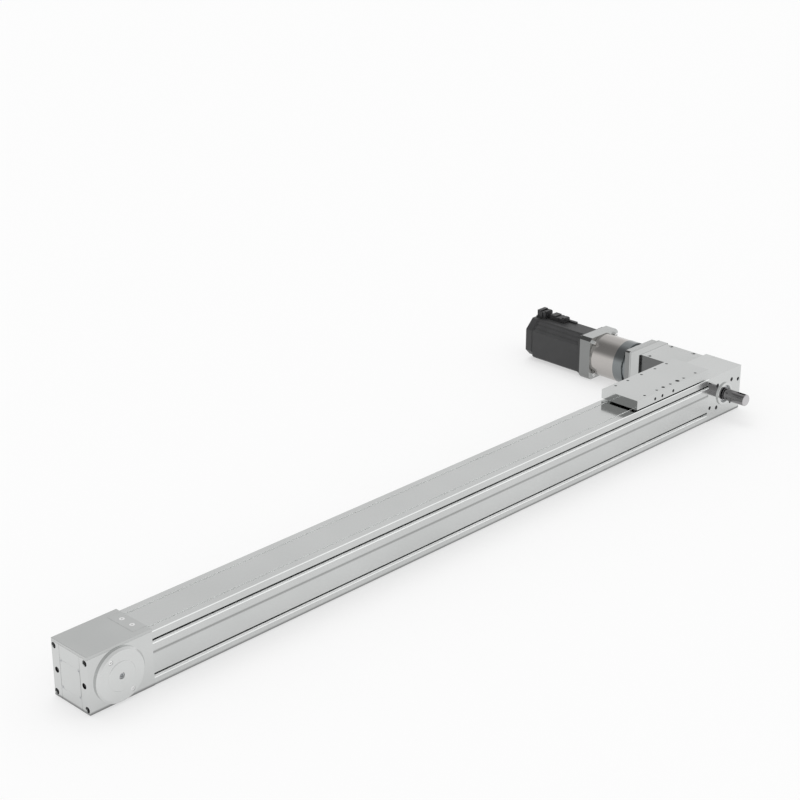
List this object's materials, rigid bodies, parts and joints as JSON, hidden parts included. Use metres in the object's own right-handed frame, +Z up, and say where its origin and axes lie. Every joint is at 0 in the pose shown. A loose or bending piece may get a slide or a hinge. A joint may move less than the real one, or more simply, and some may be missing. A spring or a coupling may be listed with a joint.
{
  "type": "belt driven linear axis",
  "caption": "Belt driven linear axis: slotted profile with covered guide, carriage with tapped holes, belt pulleys in both end housings, keyed drive shaft, side gearbox and servo motor.",
  "frame": {"origin": "centre of the profile's underside, halfway along the profile", "axes": "+X along the axis from the tension end to the drive end, +Y towards the motor, +Z up"},
  "size_m": [1.513, 0.505, 0.1065],
  "materials": {
    "anodised_aluminium": "natural anodised, satin",
    "machined_aluminium": "fine milled and natural anodised",
    "ground_steel": "ground",
    "gearbox_steel": "turned, bright",
    "black_steel": "black oxide",
    "dark_ring": "dark oxide, turned",
    "motor_coating": "satin black coating",
    "black_plastic": "moulded, matt",
    "rubber": "matt",
    "spider_plastic": "moulded elastomer"
  },
  "bodies": {
    "frame": {"profile": "anodised_aluminium", "guide_rail": "ground_steel", "rail_screws": "black_steel", "cover_strip": "anodised_aluminium", "toothed_belt": "rubber", "rubber_buffers": "rubber", "tension_housing": "machined_aluminium", "tension_top_cover": "machined_aluminium", "tension_end_panel": "machined_aluminium", "strip_clamp": "machined_aluminium", "strip_screws": "ground_steel", "idler_cover_front": "machined_aluminium", "idler_cover_back": "machined_aluminium", "idler_cover_screws": "ground_steel", "idler_axle": "ground_steel", "axle_blocks": "gearbox_steel", "tension_screws": "black_steel", "tension_corner_screws": "black_steel", "tension_panel_screws": "black_steel", "drive_housing": "machined_aluminium", "drive_end_panel": "machined_aluminium", "drive_corner_screws": "black_steel", "drive_panel_screws": "black_steel", "drive_bearings": "ground_steel", "bearing_cover": "machined_aluminium", "bearing_cover_screws": "black_steel", "shaft_ring": "machined_aluminium", "housing_side_screws": "black_steel", "coupling_housing": "machined_aluminium", "adapter_plate": "machined_aluminium", "coupling_housing_screws": "black_steel", "gearbox_flange": "machined_aluminium", "gearbox_ring": "dark_ring", "gearbox_body": "gearbox_steel", "gearbox_input_flange": "machined_aluminium", "gearbox_screws": "black_steel", "motor_flange": "motor_coating", "motor_body": "motor_coating", "motor_rear_cover": "motor_coating", "motor_screws": "black_steel", "power_connector": "black_plastic", "encoder_connector": "black_plastic"},
    "carriage": {"carriage_table": "machined_aluminium", "carriage_saddle": "machined_aluminium", "guide_blocks": "ground_steel", "block_end_caps": "black_plastic", "guide_block_screws": "black_steel", "belt_clamps": "ground_steel", "clamp_plates": "ground_steel", "clamp_screws": "black_steel", "grease_ports": "ground_steel"},
    "drive_train": {"drive_shaft": "ground_steel", "drive_pulley": "machined_aluminium", "pulley_key": "ground_steel", "coupling_hub_drive": "machined_aluminium", "coupling_spider": "spider_plastic", "coupling_hub_motor": "machined_aluminium", "gearbox_shaft": "ground_steel"},
    "idler": {"idler_pulley": "machined_aluminium", "idler_bearings": "ground_steel"}
  },
  "joints": [
    {"name": "carriage_slide", "type": "slide", "parent": "frame", "child": "carriage", "axis": [1, 0, 0], "range_m": [-1.08, 0], "deforming": ["toothed_belt"]},
    {"name": "drive_spin", "type": "hinge", "parent": "frame", "child": "drive_train", "pos_m": [0.7005, 0, 0.043], "axis": [0, 1, 0], "range_deg": [-2440, 10]},
    {"name": "idler_spin", "type": "hinge", "parent": "frame", "child": "idler", "pos_m": [-0.7095, 0, 0.043], "axis": [0, 1, 0], "range_deg": [-2440, 10]}
  ],
  "couplings": [
    {"joint": "drive_spin", "follows": "carriage_slide", "rad_per_m": 39.27},
    {"joint": "idler_spin", "follows": "carriage_slide", "rad_per_m": 39.27}
  ]
}
